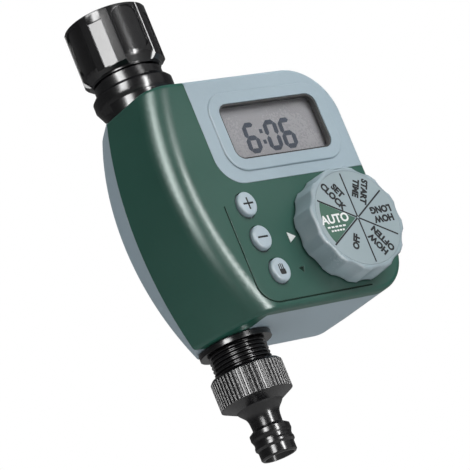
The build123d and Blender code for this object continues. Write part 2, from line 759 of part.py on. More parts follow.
# ---------------------------------------------------------------- valve body
NECK_PROFILE = [
    (0, NECK_TOP_Z),
    (NECK_R - 0.6, NECK_TOP_Z),
    (NECK_R, NECK_TOP_Z - 0.6),
    (NECK_R, -31.5),
    (17.2, -32.6),
    (BEAD_R, -34.2),
    (BEAD_R, -37.6),
    (NECK_R, -43.6),
    (NECK_R, TOP_Z + 0.2),
    (NECK_GROOVE_R, TOP_Z + 0.2),
    (NECK_GROOVE_R, TOP_Z - WALL - 0.4),
    (15.2, TOP_Z - WALL - 0.4),
    (15.2, -52.4),
    (BARREL_R, -54.4),
    (BARREL_R, BOTTOM_Z - 0.4),
    (FLANGE_R, BOTTOM_Z - 0.4),
    (FLANGE_R, -159.6),
    (THREAD_MAJOR_R - 1.2, -159.6),
]
OUTLET_TOP_Z = -124.0
INLET_FLOOR_Z = -121.2


def male_thread(top, bottom):
    """Half profile of an external thread: crests and roots repeated at the thread pitch."""
    points = []
    count = int((top - bottom) / THREAD_PITCH)
    for turn in range(count):
        z = top - turn * THREAD_PITCH
        points.append((THREAD_MAJOR_R - 1.16, z))
        points.append((THREAD_MAJOR_R, z - 0.36 * THREAD_PITCH))
        points.append((THREAD_MAJOR_R, z - 0.50 * THREAD_PITCH))
        points.append((THREAD_MAJOR_R - 1.16, z - 0.86 * THREAD_PITCH))
    points.append((THREAD_MAJOR_R - 1.16, bottom))
    points.append((0, bottom))
    return points


pad_start = (SECTOR_REACH * cos(NECK_PAD_FROM), SECTOR_REACH * sin(NECK_PAD_FROM))
pad_end = (SECTOR_REACH * cos(NECK_PAD_TO), SECTOR_REACH * sin(NECK_PAD_TO))

with BuildPart() as valve_body:
    add(turned(NECK_PROFILE + male_thread(-159.8, THREAD_END_Z)))
    # raised pad down the front of the neck
    with BuildSketch(level(TOP_Z + 0.2)):
        Circle(NECK_PAD_R)
        with BuildLine():
            Polyline((0, 0), pad_start, pad_end, (0, 0))
        make_face(mode=Mode.INTERSECT)
    extrude(amount=NECK_TOP_Z - 0.8 - TOP_Z - 0.2)
    # diaphragm chamber and its screw ears, on the barrel's right side
    with BuildSketch(side_plane(0)):
        with Locations((0, VALVE_Z)):
            Circle(VALVE_R)
            with PolarLocations(EAR_PITCH_R, 4, start_angle=45):
                Circle(EAR_R)
    extrude(amount=VALVE_FACE_X)
    # water passages
    with BuildSketch(level(NECK_TOP_Z)):
        Circle(TAIL_R)
    extrude(amount=TAIL_END_Z - NECK_TOP_Z, mode=Mode.SUBTRACT)
    with BuildSketch(level(NECK_TOP_Z)):
        Circle(BORE_R)
    extrude(amount=INLET_FLOOR_Z - NECK_TOP_Z, mode=Mode.SUBTRACT)
    with BuildSketch(level(THREAD_END_Z)):
        Circle(BORE_R)
    extrude(amount=OUTLET_TOP_Z - THREAD_END_Z, mode=Mode.SUBTRACT)
    with BuildSketch(side_plane(CHAMBER_FLOOR_X)):
        with Locations((0, VALVE_Z)):
            Circle(CHAMBER_R)
            Circle(7.2, mode=Mode.SUBTRACT)
    extrude(amount=20, mode=Mode.SUBTRACT)
    with BuildSketch(side_plane(SEAT_X)):
        with Locations((0, VALVE_Z)):
            Circle(CHAMBER_R)
    extrude(amount=20, mode=Mode.SUBTRACT)
    with BuildSketch(side_plane(0)):
        with Locations((0, VALVE_Z)):
            Circle(5.4)
        with Locations((0, VALVE_Z + 10.8)):
            Circle(1.6)
    extrude(amount=20, mode=Mode.SUBTRACT)
    with BuildSketch(side_plane(VALVE_FACE_X - 8)):
        with Locations((0, VALVE_Z)):
            with PolarLocations(EAR_PITCH_R, 4, start_angle=45):
                Circle(1.3)
    extrude(amount=20, mode=Mode.SUBTRACT)

valve_body.part.label = "valve_body"
export_step(valve_body.part, "parts/valve_body.step")

# ---------------------------------------------------------------- diaphragm and bonnet
BONNET_X = VALVE_FACE_X + DIAPHRAGM_T
BONNET_TOP_X = BONNET_X + BONNET_T

with BuildPart() as diaphragm:
    with BuildSketch(side_plane(VALVE_FACE_X)):
        with Locations((0, VALVE_Z)):
            Circle(14.9)
    extrude(amount=DIAPHRAGM_T)
    with BuildSketch(side_plane(SEAT_X)):
        with Locations((0, VALVE_Z)):
            Circle(8.6)
    extrude(amount=VALVE_FACE_X - SEAT_X)

diaphragm.part.label = "diaphragm"
export_step(diaphragm.part, "parts/diaphragm.step")

with BuildPart() as diaphragm_plate:
    with BuildSketch(side_plane(BONNET_X)):
        with Locations((0, VALVE_Z)):
            Circle(8.0)
    extrude(amount=1.2)
    fillet(diaphragm_plate.edges().group_by(Axis.X)[-1], 0.5)

diaphragm_plate.part.label = "diaphragm_plate"
export_step(diaphragm_plate.part, "parts/diaphragm_plate.step")

with BuildPart() as valve_bonnet:
    with BuildSketch(side_plane(BONNET_X)):
        with Locations((0, VALVE_Z)):
            Circle(VALVE_R)
            with PolarLocations(EAR_PITCH_R, 4, start_angle=45):
                Circle(EAR_R)
    extrude(amount=BONNET_T)
    fillet(valve_bonnet.edges().group_by(Axis.X)[-1], 0.8)
    with BuildSketch(side_plane(BONNET_X)):
        with Locations((0, VALVE_Z)):
            Circle(CHAMBER_R)
    extrude(amount=4.0, mode=Mode.SUBTRACT)
    with BuildSketch(side_plane(BONNET_X)):
        with Locations((0, VALVE_Z)):
            Circle(0.8)
            with PolarLocations(2.6, 2):
                Circle(0.6)
            with PolarLocations(EAR_PITCH_R, 4, start_angle=45):
                Circle(1.5)
    extrude(amount=10, mode=Mode.SUBTRACT)

valve_bonnet.part.label = "valve_bonnet"
export_step(valve_bonnet.part, "parts/valve_bonnet.step")

with BuildPart() as bonnet_screws:
    with BuildSketch(side_plane(VALVE_FACE_X - 7)):
        with Locations((0, VALVE_Z)):
            with PolarLocations(EAR_PITCH_R, 4, start_angle=45):
                Circle(1.28)
    extrude(amount=BONNET_TOP_X - VALVE_FACE_X + 7)
    with BuildSketch(side_plane(BONNET_TOP_X)):
        with Locations((0, VALVE_Z)):
            with PolarLocations(EAR_PITCH_R, 4, start_angle=45):
                Circle(2.5)
    extrude(amount=1.8)

bonnet_screws.part.label = "bonnet_screws"
export_step(bonnet_screws.part, "parts/bonnet_screws.step")


def coil_spring(x, radius, wire_r, pitch, turns):
    """Round-wire spring along X at the valve's height."""
    centre = (x, 0, VALVE_Z)
    with BuildPart() as spring:
        with BuildLine():
            path = Helix(pitch, pitch * turns, radius, center=centre, direction=(1, 0, 0))
        with BuildSketch(Plane(origin=path @ 0, z_dir=path % 0)):
            Circle(wire_r)
        sweep(path=path, is_frenet=True)
    return spring.part


with BuildPart() as diaphragm_spring:
    add(coil_spring(BONNET_X + 1.2 + 0.45, 5.0, 0.4, 1.05, 1.8))

diaphragm_spring.part.label = "diaphragm_spring"
export_step(diaphragm_spring.part, "parts/diaphragm_spring.step")

# ---------------------------------------------------------------- latching solenoid
COIL_FROM_X = BONNET_TOP_X + 2.4
COIL_TO_X = COIL_FROM_X + 20.0
PLUNGER_LENGTH = 14.0
PLUNGER_TRAVEL = 1.6
PLUNGER_FROM_X = BONNET_TOP_X + 0.9
CORE_END_X = COIL_TO_X + 1.6


def tube(x_from, x_to, outside, inside):
    """Tube along X at the valve's height."""
    with BuildPart() as body:
        with BuildSketch(side_plane(x_from)):
            with Locations((0, VALVE_Z)):
                Circle(outside)
                if inside:
                    Circle(inside, mode=Mode.SUBTRACT)
        extrude(amount=x_to - x_from)
    return body.part


with BuildPart() as core_tube:
    add(tube(BONNET_TOP_X, CORE_END_X, CORE_R, PLUNGER_R + RUNNING))
    add(tube(BONNET_TOP_X, BONNET_TOP_X + 1.0, 8.0, PLUNGER_R + RUNNING))
    add(tube(CORE_END_X - 4.0, CORE_END_X, CORE_R, 0))

core_tube.part.label = "core_tube"
export_step(core_tube.part, "parts/core_tube.step")

with BuildPart() as solenoid_coil:
    add(tube(COIL_FROM_X, COIL_TO_X, 9.6, CORE_R + 0.1))
    add(tube(COIL_FROM_X + 1.4, COIL_TO_X - 1.4, 12, 8.8), mode=Mode.SUBTRACT)

solenoid_coil.part.label = "solenoid_coil"
export_step(solenoid_coil.part, "parts/solenoid_coil.step")

with BuildPart() as solenoid_yoke:
    with BuildSketch(Plane.XY.offset(VALVE_Z)):
        with BuildLine():
            Line((COIL_FROM_X - 0.6, 0), (COIL_FROM_X - 0.6, 10.6))
            Line((COIL_FROM_X - 0.6, 10.6), (COIL_TO_X + 0.6, 10.6))
            Line((COIL_TO_X + 0.6, 10.6), (COIL_TO_X + 0.6, 0))
        trace(line_width=1.2)
        with BuildLine():
            Line((COIL_FROM_X - 0.6, 0), (COIL_FROM_X - 0.6, -7))
            Line((COIL_TO_X + 0.6, 0), (COIL_TO_X + 0.6, -7))
        trace(line_width=1.2)
    extrude(amount=7, both=True)
    add(tube(COIL_FROM_X - 3, COIL_TO_X + 3, CORE_R + 0.1, 0), mode=Mode.SUBTRACT)

solenoid_yoke.part.label = "solenoid_yoke"
export_step(solenoid_yoke.part, "parts/solenoid_yoke.step")

with BuildPart() as solenoid_plunger:
    add(tube(PLUNGER_FROM_X, PLUNGER_FROM_X + PLUNGER_LENGTH, PLUNGER_R, 0))
    add(tube(PLUNGER_FROM_X + 8.0, PLUNGER_FROM_X + 20, 2.4, 0), mode=Mode.SUBTRACT)
    add(tube(PLUNGER_FROM_X - 1, PLUNGER_FROM_X + 1.2, 2.0, 0), mode=Mode.SUBTRACT)

solenoid_plunger.part.label = "solenoid_plunger"
export_step(solenoid_plunger.part, "parts/solenoid_plunger.step")

with BuildPart() as pilot_seal:
    add(tube(BONNET_TOP_X, PLUNGER_FROM_X + 1.2, 1.9, 0))

pilot_seal.part.label = "pilot_seal"
export_step(pilot_seal.part, "parts/pilot_seal.step")

with BuildPart() as plunger_spring:
    add(coil_spring(PLUNGER_FROM_X + 8.4, 1.9, 0.3, 0.95, 10.8))

plunger_spring.part.label = "plunger_spring"
export_step(plunger_spring.part, "parts/plunger_spring.step")

# ---------------------------------------------------------------- battery bay and tray
CAP_FROM_X = RIGHT_X - 1.2
WALL_INSIDE_X = RIGHT_X - WALL


def ring_box(x_from, x_to, half_y, half_z, radius, hole_y, hole_z, hole_r):
    """Rectangular sleeve along X round the tray's centre line."""
    with BuildPart() as body:
        with BuildSketch(side_plane(x_from)):
            with Locations((CELL_Y, TRAY_Z)):
                RectangleRounded(2 * half_y, 2 * half_z, radius)
                if hole_y:
                    RectangleRounded(2 * hole_y, 2 * hole_z, hole_r, mode=Mode.SUBTRACT)
        extrude(amount=x_to - x_from)
    return body.part


BAY_WALL = 1.7
BAY_RIM = 4.0
tray_y = TRAY_HALF_Y + CLEAR
tray_z = TRAY_HALF_Z + CLEAR
bay_half_y = TRAY_HALF_Y + BAY_WALL
bay_half_z = TRAY_HALF_Z + BAY_WALL
rim_half_y = TRAY_HALF_Y + BAY_RIM
rim_half_z = TRAY_HALF_Z + BAY_RIM
seal_x = WALL_INSIDE_X - 0.6

with BuildPart() as battery_bay:
    add(ring_box(BAY_FROM_X, WALL_INSIDE_X - 0.9, bay_half_y, bay_half_z, 2, tray_y, tray_z, 1))
    add(ring_box(BAY_FROM_X, BAY_FROM_X + 1.6, bay_half_y, bay_half_z, 2, 0, 0, 0))
    add(ring_box(WALL_INSIDE_X - 1.8, seal_x, rim_half_y, rim_half_z, 3, tray_y, tray_z, 1))

battery_bay.part.label = "battery_bay"
export_step(battery_bay.part, "parts/battery_bay.step")

with BuildPart() as battery_tray:
    add(ring_box(TRAY_FROM_X, CAP_FROM_X, TRAY_HALF_Y, TRAY_HALF_Z, 0.8, 0, 0, 0))
    for z in CELL_Z:
        with BuildSketch(side_plane(TRAY_FROM_X + 1.6)):
            with Locations((CELL_Y, z)):
                Circle(CELL_R + 0.15)
            with Locations((CELL_Y - 5, z)):
                Rectangle(10, 2 * (CELL_R + 0.15))
        extrude(amount=CELL_TO_X + 5.4 - TRAY_FROM_X - 1.6, mode=Mode.SUBTRACT)
        with BuildSketch(side_plane(TRAY_FROM_X - 1)):
            with Locations((CELL_Y, z)):
                Circle(3.8)
        extrude(amount=5, mode=Mode.SUBTRACT)
    # outer cap with three grip ribs, standing just proud of the wall
    add(ring_box(CAP_FROM_X, RIGHT_X + 0.6, 8.5, 15.1, 2.4, 0, 0, 0))
    for z in (TRAY_Z - 4, TRAY_Z, TRAY_Z + 4):
        add(box_between((RIGHT_X, CELL_Y - 5.5, z - 0.6), (RIGHT_X + 1.3, CELL_Y + 5.5, z + 0.6)))

battery_tray.part.label = "battery_tray"
export_step(battery_tray.part, "parts/battery_tray.step")

seal_half_y = TRAY_HALF_Y + 1.4
seal_half_z = TRAY_HALF_Z + 2.0

with BuildPart() as tray_seal:
    add(ring_box(seal_x, CAP_FROM_X, seal_half_y, seal_half_z, 2, TRAY_HALF_Y, TRAY_HALF_Z, 0.8))

tray_seal.part.label = "tray_seal"
export_step(tray_seal.part, "parts/tray_seal.step")

with BuildPart() as aaa_cells:
    for z, nub_x in ((CELL_Z[0], CELL_TO_X), (CELL_Z[1], CELL_FROM_X - 0.9)):
        with BuildSketch(side_plane(CELL_FROM_X)):
            with Locations((CELL_Y, z)):
                Circle(CELL_R)
        extrude(amount=CELL_TO_X - CELL_FROM_X)
        with BuildSketch(side_plane(nub_x)):
            with Locations((CELL_Y, z)):
                Circle(1.9)
        extrude(amount=0.9)

aaa_cells.part.label = "aaa_cells"
export_step(aaa_cells.part, "parts/aaa_cells.step")

with BuildPart() as cell_link:
    with BuildSketch(side_plane(CELL_TO_X + 4.8)):
        with Locations((CELL_Y, CELL_Z[0])):
            Circle(4.2)
        with Locations((CELL_Y, CELL_Z[1])):
            Circle(4.2)
    extrude(amount=0.5)
    for z, reach in ((CELL_Z[0], 3.8), (CELL_Z[1], 4.7)):
        with BuildSketch(side_plane(CELL_TO_X + 4.8)):
            with Locations((CELL_Y, z)):
                Circle(2.2)
                Circle(1.6, mode=Mode.SUBTRACT)
        extrude(amount=-reach)

cell_link.part.label = "cell_link"
export_step(cell_link.part, "parts/cell_link.step")

with BuildPart() as bay_contacts:
    for z, reach in ((CELL_Z[0], 4.7), (CELL_Z[1], 3.8)):
        with BuildSketch(side_plane(BAY_FROM_X + 1.6)):
            with Locations((CELL_Y, z)):
                Circle(3.4)
        extrude(amount=0.4)
        with BuildSketch(side_plane(BAY_FROM_X + 2.0)):
            with Locations((CELL_Y, z)):
                Circle(2.2)
                Circle(1.6, mode=Mode.SUBTRACT)
        extrude(amount=reach - 0.4)

bay_contacts.part.label = "bay_contacts"
export_step(bay_contacts.part, "parts/bay_contacts.step")

# ---------------------------------------------------------------- outlet washer and adaptor
SOCKET_FLOOR_Z = -183.5

with BuildPart() as outlet_washer:
    add(turned([(7.6, SOCKET_FLOOR_Z), (12.9, SOCKET_FLOOR_Z), (12.9, THREAD_END_Z), (7.6, THREAD_END_Z)]))
    fillet(outlet_washer.edges(), 0.4)

outlet_washer.part.label = "outlet_washer"
export_step(outlet_washer.part, "parts/outlet_washer.step")

with BuildPart() as outlet_adaptor:
    with BuildSketch(Plane.XZ):
        with BuildLine():
            Polyline((THREAD_MAJOR_R + RUNNING, SOCKET_FLOOR_Z), (THREAD_MAJOR_R + RUNNING, KNURL_TOP_Z))
            Polyline((THREAD_MAJOR_R + RUNNING, KNURL_TOP_Z), (15.4, KNURL_TOP_Z), (KNURL_R, -171.2))
            Polyline((KNURL_R, -171.2), (KNURL_R, KNURL_BOTTOM_Z), (10.6, -187.0))
            Spline((10.6, -187.0), (7.9, -190.4), (6.9, -196.6), tangents=((-0.5, -1), (-0.05, -1)))
            Polyline((6.9, -196.6), (9.2, -198.2), (9.3, -200.4), (8.6, -202.2), (8.6, -203.2))
            Polyline((8.6, -203.2), (9.0, -204.2), (9.0, -205.2), (SPIGOT_R, -206.2))
            Polyline((SPIGOT_R, -206.2), (SPIGOT_R, -209.8), (7.6, SPIGOT_TIP_Z), (6.6, SPIGOT_TIP_Z))
            Polyline((6.6, SPIGOT_TIP_Z), (5.4, -207.0), (5.4, -190.0), (BORE_R, -185.0))
            Polyline((BORE_R, -185.0), (BORE_R, SOCKET_FLOOR_Z), (THREAD_MAJOR_R + RUNNING, SOCKET_FLOOR_Z))
        make_face()
    revolve(axis=Axis.Z)
    with BuildSketch(level(-171.2)):
        with PolarLocations(KNURL_R + 0.15, KNURL_RIBS):
            Circle(0.62)
    extrude(amount=KNURL_BOTTOM_Z + 171.2, mode=Mode.SUBTRACT)

outlet_adaptor.part.label = "outlet_adaptor"
export_step(outlet_adaptor.part, "parts/outlet_adaptor.step")

# ---------------------------------------------------------------- wiring
WIRE_R = 0.6

with BuildPart() as coil_wires:
    for z in (VALVE_Z + 5, VALVE_Z - 5):
        with BuildLine():
            wire = Spline(
                (COIL_FROM_X + 8, -9.9, z),
                (COIL_FROM_X + 9, -16, z),
                (COIL_FROM_X + 10, BOARD_BACK_Y + 0.1, z + 2),
                tangents=((0, -1, 0), (0, -1, 0)),
            )
        with BuildSketch(Plane(origin=wire @ 0, z_dir=wire % 0)):
            Circle(WIRE_R)
        sweep(path=wire)

coil_wires.part.label = "coil_wires"
export_step(coil_wires.part, "parts/coil_wires.step")

with BuildPart() as battery_wires:
    for z in CELL_Z:
        with BuildLine():
            wire = Spline(
                (BAY_FROM_X - 0.1, CELL_Y, z),
                (BAY_FROM_X - 1.4, -12, z),
                (BAY_FROM_X + 4, BOARD_BACK_Y + 0.1, z),
                tangents=((-1, 0, 0), (0, -1, 0)),
            )
        with BuildSketch(Plane(origin=wire @ 0, z_dir=wire % 0)):
            Circle(WIRE_R)
        sweep(path=wire)

battery_wires.part.label = "battery_wires"
export_step(battery_wires.part, "parts/battery_wires.step")
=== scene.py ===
import json
import math

import bmesh
import bpy
from mathutils import Matrix, Vector


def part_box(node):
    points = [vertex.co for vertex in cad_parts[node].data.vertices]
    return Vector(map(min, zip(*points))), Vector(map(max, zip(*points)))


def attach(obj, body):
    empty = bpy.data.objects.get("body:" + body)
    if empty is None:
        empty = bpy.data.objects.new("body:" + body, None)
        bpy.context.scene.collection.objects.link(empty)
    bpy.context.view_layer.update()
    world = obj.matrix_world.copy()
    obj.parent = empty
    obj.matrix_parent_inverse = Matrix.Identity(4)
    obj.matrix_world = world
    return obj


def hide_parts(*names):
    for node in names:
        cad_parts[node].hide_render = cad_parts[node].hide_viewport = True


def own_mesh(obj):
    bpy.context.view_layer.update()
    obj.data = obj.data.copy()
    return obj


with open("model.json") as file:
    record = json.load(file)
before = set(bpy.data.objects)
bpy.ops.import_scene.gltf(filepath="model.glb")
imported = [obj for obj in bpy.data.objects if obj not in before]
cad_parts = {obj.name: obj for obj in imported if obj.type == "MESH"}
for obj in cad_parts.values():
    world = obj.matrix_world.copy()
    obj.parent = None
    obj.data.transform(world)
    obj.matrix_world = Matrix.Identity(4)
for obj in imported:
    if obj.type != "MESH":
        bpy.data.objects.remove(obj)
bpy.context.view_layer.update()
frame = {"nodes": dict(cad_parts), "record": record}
nodes = frame["nodes"]
scene = bpy.context.scene
MM = 0.001


# ---------------------------------------------------------------- materials
def add_node(tree, kind, values=None, operation=None):
    """New shader node with some of its inputs set."""
    made = tree.nodes.new("ShaderNode" + kind)
    if operation:
        made.operation = operation
    for key, value in (values or {}).items():
        made.inputs[key].default_value = value
    return made


def new_material(name):
    """Empty node material and its tree."""
    mat = bpy.data.materials.new(name)
    mat.use_nodes = True
    return mat, mat.node_tree


def map_range(tree, source, low, high, to_low, to_high):
    """Output that runs from one pair of values to another as the source does, held at both ends."""
    limits = {"From Min": low, "From Max": high, "To Min": to_low, "To Max": to_high}
    made = add_node(tree, "MapRange", limits)
    tree.links.new(source, made.inputs["Value"])
    return made.outputs["Result"]


def worn_edges(tree, colour, rounded, patches, wear, amount):
    """Mixes in the wear colour in patches along edges, where the rounded normal leaves the true one."""
    geometry = add_node(tree, "NewGeometry")
    dot = add_node(tree, "VectorMath", operation="DOT_PRODUCT")
    tree.links.new(rounded, dot.inputs[0])
    tree.links.new(geometry.outputs["Normal"], dot.inputs[1])
    mask = map_range(tree, dot.outputs["Value"], 0.995, 0.93, 0.0, amount)
    patch = add_node(tree, "Math", operation="MULTIPLY")
    tree.links.new(mask, patch.inputs[0])
    tree.links.new(patches, patch.inputs[1])
    mix = tree.nodes.new("ShaderNodeMix")
    mix.data_type = "RGBA"
    mix.inputs["B"].default_value = (*wear, 1)
    tree.links.new(patch.outputs[0], mix.inputs["Factor"])
    tree.links.new(colour, mix.inputs["A"])
    return mix.outputs["Result"]


def painted_corner_shade(tree, colour, corner_shade):
    """Painted shade: darkens the colour where surfaces close in on each other."""
    occlusion = add_node(tree, "AmbientOcclusion", {"Distance": 1.6 * MM})
    occlusion.samples = 4
    shade = map_range(tree, occlusion.outputs["AO"], 0.25, 0.8, 1.0 - corner_shade, 1.0)
    dark = add_node(tree, "VectorMath", operation="SCALE")
    tree.links.new(colour, dark.inputs[0])
    tree.links.new(shade, dark.inputs["Scale"])
    return dark.outputs["Vector"]


def surface(name, colour, rough=0.4, vary=0.05, grain=900, bump=0.05, wear=None, wear_amount=0.0,
            metal=0.0, edge=0.25, spec=0.5, corner_shade=0.25):
    """Moulded or machined finish: uneven colour and gloss, fine grain, rounded edges, wear and painted
    corner shade.
    """
    mat, tree = new_material(name)
    shader = tree.nodes["Principled BSDF"]
    coords = add_node(tree, "TexCoord")
    broad = add_node(tree, "TexNoise", {"Scale": 22.0, "Detail": 3.0})
    fine = add_node(tree, "TexNoise", {"Scale": grain, "Detail": 4.0})
    for noise in (broad, fine):
        tree.links.new(coords.outputs["Object"], noise.inputs["Vector"])
    # the broad unevenness with about a third of the fine one added
    both = add_node(tree, "Math", {1: 0.35}, operation="MULTIPLY_ADD")
    tree.links.new(fine.outputs["Fac"], both.inputs[0])
    tree.links.new(broad.outputs["Fac"], both.inputs[2])
    ramp = add_node(tree, "ValToRGB")
    darker, lighter = ramp.color_ramp.elements
    darker.position, lighter.position = 0.35, 1.0
    darker.color = [c * (1 - vary) for c in colour] + [1]
    lighter.color = [min(1, c * (1 + vary)) for c in colour] + [1]
    tree.links.new(both.outputs[0], ramp.inputs["Fac"])
    shade = ramp.outputs["Color"]
    rounded = add_node(tree, "Bevel", {"Radius": edge * MM})
    rounded.samples = 4
    if wear:
        shade = worn_edges(tree, shade, rounded.outputs["Normal"], broad.outputs["Fac"], wear, wear_amount)
    # painted shade in corners, recesses and narrow gaps between parts
    if corner_shade:
        shade = painted_corner_shade(tree, shade, corner_shade)
    tree.links.new(shade, shader.inputs["Base Color"])
    uneven = map_range(tree, both.outputs[0], 0.3, 1.0, rough * 0.82, min(1.0, rough * 1.25))
    tree.links.new(uneven, shader.inputs["Roughness"])
    relief = add_node(tree, "Bump", {"Strength": bump, "Distance": 0.05 * MM})
    tree.links.new(fine.outputs["Fac"], relief.inputs["Height"])
    tree.links.new(rounded.outputs["Normal"], relief.inputs["Normal"])
    tree.links.new(relief.outputs["Normal"], shader.inputs["Normal"])
    shader.inputs["Metallic"].default_value = metal
    shader.inputs["Specular IOR Level"].default_value = spec
    return mat


def clear_window(name):
    """Thin clear moulding: lets light through and reflects a little, more at a glancing angle."""
    mat, tree = new_material(name)
    tree.nodes.remove(tree.nodes["Principled BSDF"])
    through = add_node(tree, "BsdfTransparent", {"Color": (0.94, 0.95, 0.95, 1)})
    gloss = add_node(tree, "BsdfGlossy")
    smear = add_node(tree, "TexNoise", {"Scale": 60})
    tree.links.new(map_range(tree, smear.outputs["Fac"], 0, 1, 0.03, 0.22), gloss.inputs["Roughness"])
    # only the outer faces reflect
    facing = add_node(tree, "Fresnel", {"IOR": 1.35})
    side = add_node(tree, "NewGeometry")
    outer = add_node(tree, "Math", {0: 1.0}, operation="SUBTRACT")
    tree.links.new(side.outputs["Backfacing"], outer.inputs[1])
    share = add_node(tree, "Math", operation="MULTIPLY")
    tree.links.new(facing.outputs["Fac"], share.inputs[0])
    tree.links.new(outer.outputs[0], share.inputs[1])
    mix = add_node(tree, "MixShader")
    tree.links.new(share.outputs[0], mix.inputs["Fac"])
    tree.links.new(through.outputs["BSDF"], mix.inputs[1])
    tree.links.new(gloss.outputs["BSDF"], mix.inputs[2])
    tree.links.new(mix.outputs["Shader"], tree.nodes["Material Output"].inputs["Surface"])
    return mat


def rubbed(name, colour, rough, wear, wear_amount, **rest):
    """Finish with a moulded texture and edges that handling has rubbed pale."""
    options = {"grain": 700, "bump": 0.1, **rest}
    return surface(name, colour, rough, wear=wear, wear_amount=wear_amount, **options)


PALE_EDGE = (0.62, 0.70, 0.74)
BLACK_EDGE = (0.09, 0.09, 0.10)
LOOKS = {
    "green_shell": rubbed("green_shell", (0.012, 0.088, 0.063), 0.34, (0.16, 0.30, 0.24), 0.25, vary=0.1),
    "grey_shell": rubbed("grey_shell", (0.335, 0.43, 0.49), 0.34, PALE_EDGE, 0.25),
    "knob_grey": rubbed("knob_grey", (0.32, 0.405, 0.445), 0.24, PALE_EDGE, 0.3, bump=0.06, edge=1.5),
    "button_grey": rubbed("button_grey", (0.42, 0.51, 0.57), 0.30, (0.6, 0.65, 0.68), 0.5, grain=800),
    "black_plastic": rubbed(
        "black_plastic", (0.006, 0.006, 0.007), 0.20, BLACK_EDGE, 0.5, vary=0.2, grain=600, bump=0.06
    ),
    "white_plastic": rubbed("white_plastic", (0.72, 0.72, 0.69), 0.4, (0.8, 0.8, 0.8), 0.3),
    "cell_jacket": rubbed(
        "cell_jacket", (0.06, 0.06, 0.065), 0.25, (0.5, 0.5, 0.5), 0.5, vary=0.1, grain=600, bump=0.05
    ),
    "clear_lens": clear_window("clear_lens"),
    "lcd": surface("lcd", (0.50, 0.475, 0.50), 0.25, bump=0.02, corner_shade=0.2),
    "lcd_ink": surface("lcd_ink", (0.060, 0.072, 0.105), 0.3, vary=0.1, bump=0.0, corner_shade=0),
    "label_print": surface("label_print", (0.30, 0.38, 0.41), vary=0.04, bump=0.03),
    "green_print": surface("green_print", (0.035, 0.13, 0.085), vary=0.08, bump=0.03, corner_shade=0),
    "dark_print": surface("dark_print", (0.015, 0.017, 0.019), 0.5, vary=0.2, spec=0.25, corner_shade=0),
    "white_print": surface("white_print", (0.80, 0.83, 0.82), 0.45, vary=0.03),
    "groove_shadow": surface(
        "groove_shadow", (0.001, 0.020, 0.012), 0.7, vary=0.2, grain=700, bump=0.1, spec=0.1, corner_shade=0
    ),
    "rubber_black": surface("rubber_black", (0.02, 0.02, 0.02), 0.65, vary=0.2, grain=500, bump=0.2),
    "rubber_white": surface("rubber_white", (0.6, 0.6, 0.57), 0.55, grain=500, bump=0.1),
    "steel": surface("steel", (0.55, 0.55, 0.56), 0.32, vary=0.15, grain=1200, bump=0.1, metal=1.0),
    "brass_contact": surface("brass_contact", (0.72, 0.60, 0.35), 0.3, vary=0.1, bump=0.08, metal=1.0),
    "copper_coil": surface(
        "copper_coil", (0.45, 0.16, 0.07), 0.35, vary=0.15, grain=1500, bump=0.3, metal=0.6
    ),
    "board_green": surface("board_green", (0.02, 0.16, 0.06), 0.35, vary=0.15, grain=300, bump=0.1),
    "chip_black": surface("chip_black", (0.02, 0.02, 0.02), 0.5, vary=0.2, bump=0.1),
    "wire_red": surface("wire_red", (0.35, 0.02, 0.02), vary=0.1),
}

SHARP_ANGLE = math.radians(32)


def smooth(obj):
    """Shades a carried-over solid smoothly over its curved faces and sharply at its edges."""
    for poly in obj.data.polygons:
        poly.use_smooth = True
    weld = obj.modifiers.new("Weld", "WELD")
    weld.merge_threshold = MM / 1000
    split = obj.modifiers.new("Split", "EDGE_SPLIT")
    split.split_angle = SHARP_ANGLE
    even = obj.modifiers.new("Even", "WEIGHTED_NORMAL")
    even.weight = 100


for row in frame["record"]["subparts"]:
    obj = nodes[row["node"]]
    obj.data.materials.clear()
    obj.data.materials.append(LOOKS[row["material_slot"]])
    smooth(obj)


# ---------------------------------------------------------------- pieces in mesh code, in millimetres
def piece(name, bm, look, body):
    """New piece of the object from mesh data in metres, riding on a body."""
    bmesh.ops.recalc_face_normals(bm, faces=bm.faces)
    mesh = bpy.data.meshes.new(name)
    bm.to_mesh(mesh)
    bm.free()
    mesh.materials.append(LOOKS[look])
    obj = bpy.data.objects.new(name, mesh)
    scene.collection.objects.link(obj)
    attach(obj, body)
    return obj


def prism(bm, outline, y_front, y_back):
    """Closed slab from an outline in X and Z, between two depths in Y."""
    front = [bm.verts.new((x * MM, y_front * MM, z * MM)) for x, z in outline]
    back = [bm.verts.new((x * MM, y_back * MM, z * MM)) for x, z in outline]
    bm.faces.new(front)
    bm.faces.new(back[::-1])
    for i in range(len(outline)):
        j = (i + 1) % len(outline)
        bm.faces.new((front[j], front[i], back[i], back[j]))


def bar(x, z, width, height, turn=0.0):
    """Rectangle's corners round its centre, turned in degrees."""
    c, s = math.cos(math.radians(turn)), math.sin(math.radians(turn))
    w, h = width / 2, height / 2
    corners = ((-w, -h), (w, -h), (w, h), (-w, h))
    return [(x + c * u - s * v, z + s * u + c * v) for u, v in corners]


